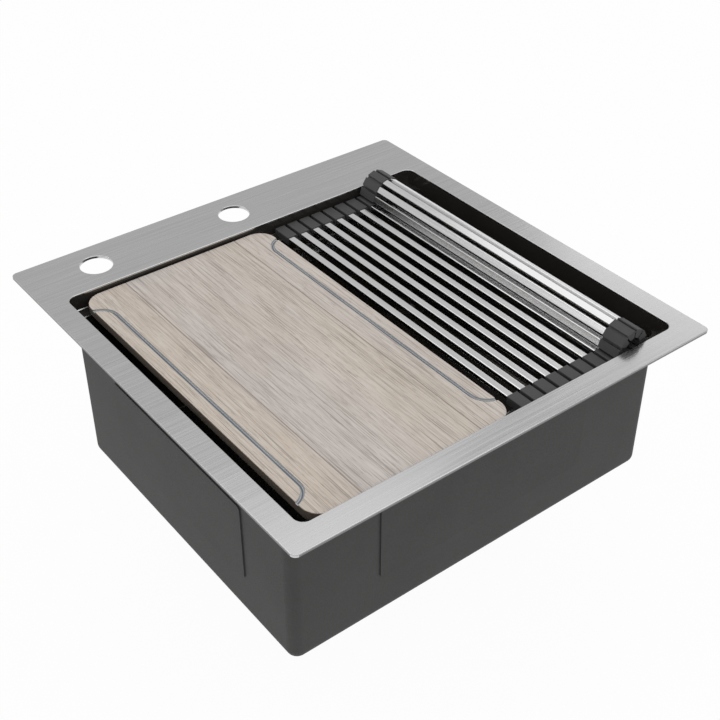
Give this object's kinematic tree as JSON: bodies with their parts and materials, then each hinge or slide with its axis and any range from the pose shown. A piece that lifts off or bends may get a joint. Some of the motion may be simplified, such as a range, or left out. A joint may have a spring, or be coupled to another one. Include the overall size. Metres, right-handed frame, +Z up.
{
  "type": "workstation kitchen sink",
  "caption": "Deep single-bowl steel kitchen sink with a wide tap deck, ledges that carry a wooden cutting board and a part-rolled bar drying rack, and a basket strainer.",
  "frame": {"origin": "middle of the rim on the worktop plane, which is the underside of the rim", "axes": "+Z up, +Y towards the tap deck at the back, +X to the right seen from the front"},
  "size_m": [0.5, 0.51, 0.3423],
  "materials": {
    "rim_steel": "brushed along the width",
    "bowl_steel": "dark satin",
    "coat": "matt sprayed",
    "pad": "matt",
    "bright_steel": "polished",
    "seal_rubber": "matt",
    "pipe": "satin",
    "plastic": "matt",
    "board_wood": "oiled, pale grey-brown grain",
    "rack_steel": "satin",
    "rack_silicone": "matt"
  },
  "bodies": {
    "sink": {"deck_plate": "rim_steel", "upper_wall": "bowl_steel", "ledges": "bowl_steel", "bowl_shell": "bowl_steel", "undercoating": "coat", "sound_pad_left": "pad", "sound_pad_right": "pad", "sound_pad_front": "pad", "sound_pad_back": "pad", "sound_pad_floor": "pad", "overflow_cover": "bright_steel", "overflow_gasket": "seal_rubber", "overflow_housing": "plastic", "overflow_screws": "bright_steel", "overflow_pipe": "pipe", "pipe_clips": "bright_steel", "strainer_cup": "bright_steel", "flange_seal": "seal_rubber", "body_seal": "seal_rubber", "waste_body": "plastic", "centre_screw": "bright_steel", "coupling_washer": "seal_rubber", "coupling_nut": "plastic", "outlet_pipe": "plastic"},
    "cutting_board": {"cutting_board": "board_wood"},
    "basket": {"basket": "bright_steel", "basket_knob": "bright_steel", "basket_seal": "seal_rubber"},
    "rack_base": {"rack_bar_08": "rack_steel", "rack_ends_08": "rack_silicone", "rack_bar_09": "rack_steel", "rack_ends_09": "rack_silicone"},
    "link_07": {"rack_bar_07": "rack_steel", "rack_ends_07": "rack_silicone"},
    "link_06": {"rack_bar_06": "rack_steel", "rack_ends_06": "rack_silicone"},
    "link_05": {"rack_bar_05": "rack_steel", "rack_ends_05": "rack_silicone"},
    "link_04": {"rack_bar_04": "rack_steel", "rack_ends_04": "rack_silicone"},
    "link_03": {"rack_bar_03": "rack_steel", "rack_ends_03": "rack_silicone"},
    "link_02": {"rack_bar_02": "rack_steel", "rack_ends_02": "rack_silicone"},
    "link_01": {"rack_bar_01": "rack_steel", "rack_ends_01": "rack_silicone"},
    "link_10": {"rack_bar_10": "rack_steel", "rack_ends_10": "rack_silicone"},
    "link_11": {"rack_bar_11": "rack_steel", "rack_ends_11": "rack_silicone"},
    "link_12": {"rack_bar_12": "rack_steel", "rack_ends_12": "rack_silicone"},
    "link_13": {"rack_bar_13": "rack_steel", "rack_ends_13": "rack_silicone"},
    "link_14": {"rack_bar_14": "rack_steel", "rack_ends_14": "rack_silicone"},
    "link_15": {"rack_bar_15": "rack_steel", "rack_ends_15": "rack_silicone"},
    "link_16": {"rack_bar_16": "rack_steel", "rack_ends_16": "rack_silicone"}
  },
  "joints": [
    {"name": "board_lift", "type": "slide", "parent": "sink", "child": "cutting_board", "axis": [0, 0, 1], "range_m": [0, 0.12]},
    {"name": "basket_lift", "type": "slide", "parent": "sink", "child": "basket", "axis": [0, 0, 1], "range_m": [0, 0.06]},
    {"name": "rack_slide", "type": "slide", "parent": "sink", "child": "rack_base", "axis": [1, 0, 0], "range_m": [-0.012, 0.01]},
    {"name": "curl_07", "type": "hinge", "parent": "rack_base", "child": "link_07", "pos_m": [0.14325, 0, -0.0145], "axis": [0, 1, 0], "range_deg": [0, 20]},
    {"name": "curl_06", "type": "hinge", "parent": "link_07", "child": "link_06", "pos_m": [0.12675, 0, -0.0145], "axis": [0, 1, 0], "range_deg": [0, 20]},
    {"name": "curl_05", "type": "hinge", "parent": "link_06", "child": "link_05", "pos_m": [0.11025, 0, -0.0145], "axis": [0, 1, 0], "range_deg": [0, 20]},
    {"name": "curl_04", "type": "hinge", "parent": "link_05", "child": "link_04", "pos_m": [0.09375, 0, -0.0145], "axis": [0, 1, 0], "range_deg": [0, 20]},
    {"name": "curl_03", "type": "hinge", "parent": "link_04", "child": "link_03", "pos_m": [0.07725, 0, -0.0145], "axis": [0, 1, 0], "range_deg": [0, 20]},
    {"name": "curl_02", "type": "hinge", "parent": "link_03", "child": "link_02", "pos_m": [0.06075, 0, -0.0145], "axis": [0, 1, 0], "range_deg": [0, 20]},
    {"name": "curl_01", "type": "hinge", "parent": "link_02", "child": "link_01", "pos_m": [0.04425, 0, -0.0145], "axis": [0, 1, 0], "range_deg": [0, 20]},
    {"name": "unroll_10", "type": "hinge", "parent": "rack_base", "child": "link_10", "pos_m": [0.17625, 0, -0.0145], "axis": [0, 1, 0], "range_deg": [0, 14]},
    {"name": "unroll_11", "type": "hinge", "parent": "link_10", "child": "link_11", "pos_m": [0.18643, 0, -0.00814], "axis": [0, 1, 0], "range_deg": [0, 19.6]},
    {"name": "unroll_12", "type": "hinge", "parent": "link_11", "child": "link_12", "pos_m": [0.18892, 0, 0.0036], "axis": [0, 1, 0], "range_deg": [0, 18.2]},
    {"name": "unroll_13", "type": "hinge", "parent": "link_12", "child": "link_13", "pos_m": [0.18292, 0, 0.01399], "axis": [0, 1, 0], "range_deg": [0, 15.4]},
    {"name": "unroll_14", "type": "hinge", "parent": "link_13", "child": "link_14", "pos_m": [0.17196, 0, 0.01887], "axis": [0, 1, 0], "range_deg": [0, 18.2]},
    {"name": "unroll_15", "type": "hinge", "parent": "link_14", "child": "link_15", "pos_m": [0.16061, 0, 0.01496], "axis": [0, 1, 0], "range_deg": [0, 15.4]},
    {"name": "unroll_16", "type": "hinge", "parent": "link_15", "child": "link_16", "pos_m": [0.15373, 0, 0.00513], "axis": [0, 1, 0], "range_deg": [0, 7]}
  ],
  "couplings": [
    {"joint": "curl_06", "follows": "curl_07", "ratio": 1},
    {"joint": "curl_05", "follows": "curl_07", "ratio": 1},
    {"joint": "curl_04", "follows": "curl_07", "ratio": 1},
    {"joint": "curl_03", "follows": "curl_07", "ratio": 1},
    {"joint": "curl_02", "follows": "curl_07", "ratio": 1},
    {"joint": "curl_01", "follows": "curl_07", "ratio": 1},
    {"joint": "unroll_11", "follows": "unroll_10", "ratio": 1.4},
    {"joint": "unroll_12", "follows": "unroll_10", "ratio": 1.3},
    {"joint": "unroll_13", "follows": "unroll_10", "ratio": 1.1},
    {"joint": "unroll_14", "follows": "unroll_10", "ratio": 1.3},
    {"joint": "unroll_15", "follows": "unroll_10", "ratio": 1.1},
    {"joint": "unroll_16", "follows": "unroll_10", "ratio": 0.5}
  ]
}
